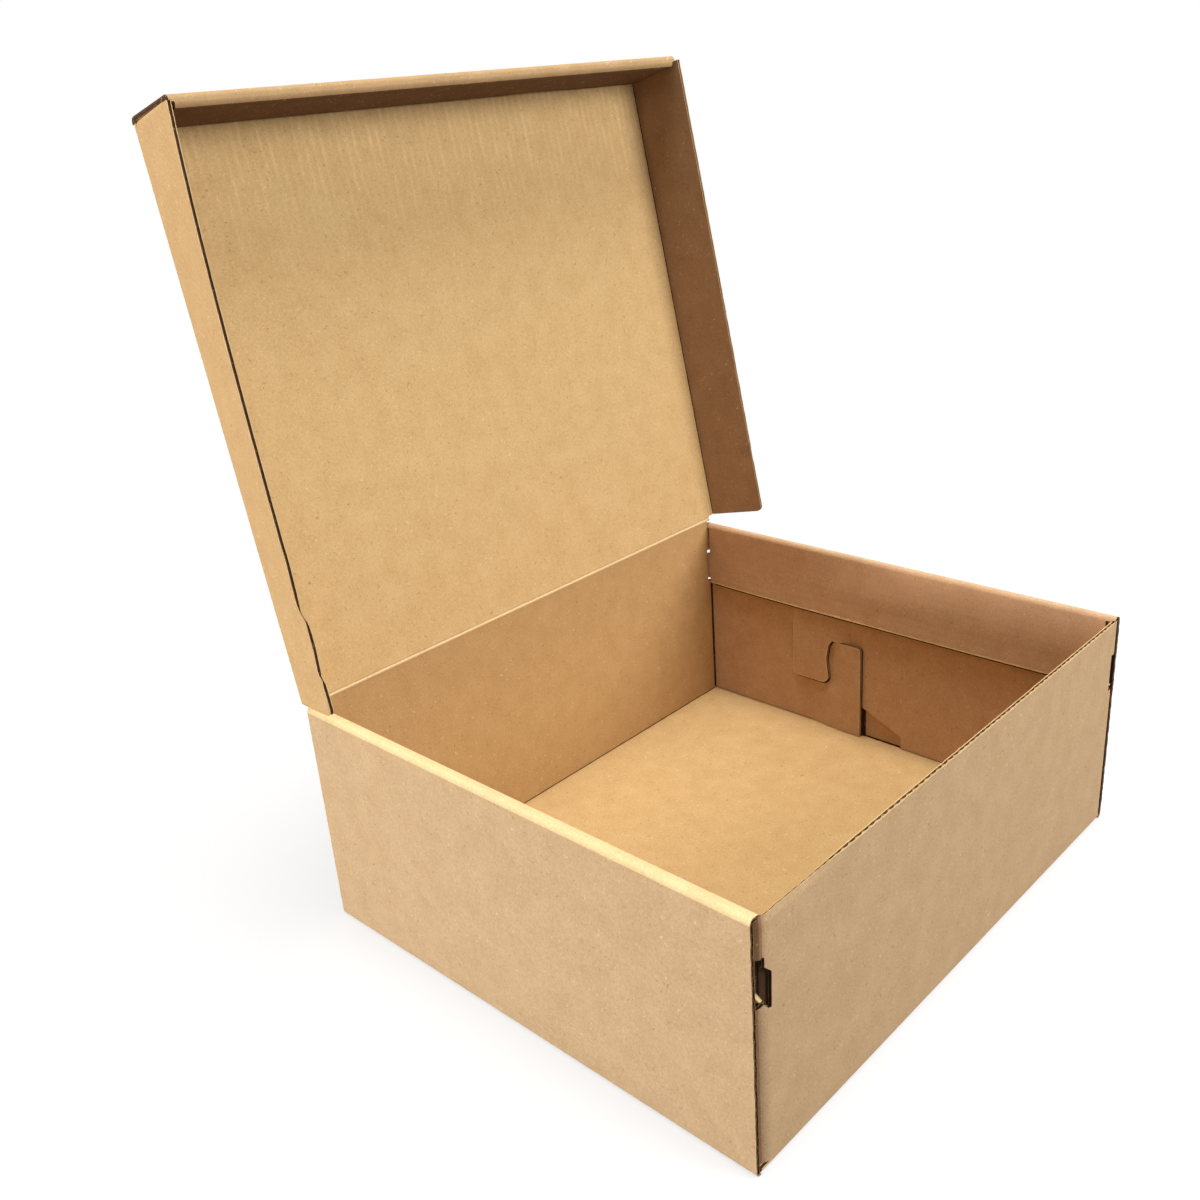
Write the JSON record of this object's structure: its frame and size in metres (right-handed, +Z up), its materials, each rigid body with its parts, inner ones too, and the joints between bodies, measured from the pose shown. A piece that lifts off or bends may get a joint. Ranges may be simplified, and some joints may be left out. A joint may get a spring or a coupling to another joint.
{
  "type": "hinged-lid corrugated box",
  "caption": "Open brown corrugated cardboard box with a hinged lid, folded from one die-cut sheet, with hemmed ends, locking corner flaps and a rolled lid front.",
  "frame": {"origin": "middle of the tray's underside, on the surface that the box stands on", "axes": "+Z up; +X along the hinge, to the right as seen from the front; -Y towards the front wall, +Y towards the hinge"},
  "size_m": [0.424, 0.401, 0.506],
  "materials": {
    "board": "matte kraft paper"
  },
  "bodies": {
    "tray": {"tray": "board"},
    "lid": {"lid": "board"}
  },
  "joints": [
    {"name": "lid_hinge", "type": "hinge", "parent": "tray", "child": "lid", "pos_m": [0, 0.16775, 0.1566], "axis": [1, 0, 0], "range_deg": [-79.4, 100.6]}
  ]
}
